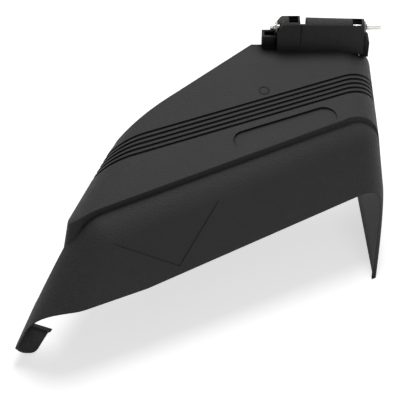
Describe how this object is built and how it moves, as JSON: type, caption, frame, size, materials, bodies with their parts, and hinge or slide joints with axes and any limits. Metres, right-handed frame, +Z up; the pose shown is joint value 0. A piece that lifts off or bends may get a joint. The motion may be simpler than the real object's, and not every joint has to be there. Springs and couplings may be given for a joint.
{
  "type": "mower discharge deflector",
  "caption": "Moulded discharge deflector for a mower deck: a stepped, grooved hood with two legs, hinged on a steel rod with a torsion spring.",
  "frame": {"origin": "on the hinge rod's axis, above the middle of the hinge", "axes": "+X along the hinge rod towards its free end, -Y away from the deck, +Z up with the deflector lowered"},
  "size_m": [0.4239, 0.3584, 0.2134],
  "materials": {
    "moulding": "matte black with a fine grain",
    "rod": "bright zinc",
    "spring": "black",
    "washer": "natural nylon",
    "nut": "black phosphate"
  },
  "bodies": {
    "hinge_pin": {"hinge_rod": "rod", "push_nut": "nut", "washer_left": "washer", "washer_right": "washer"},
    "deflector": {"deflector_shell": "moulding", "torsion_spring": "spring"}
  },
  "joints": [
    {"name": "deflector_swing", "type": "hinge", "parent": "hinge_pin", "child": "deflector", "pos_m": [0, 0, 0], "axis": [-1, 0, 0], "range_deg": [0, 95]}
  ]
}
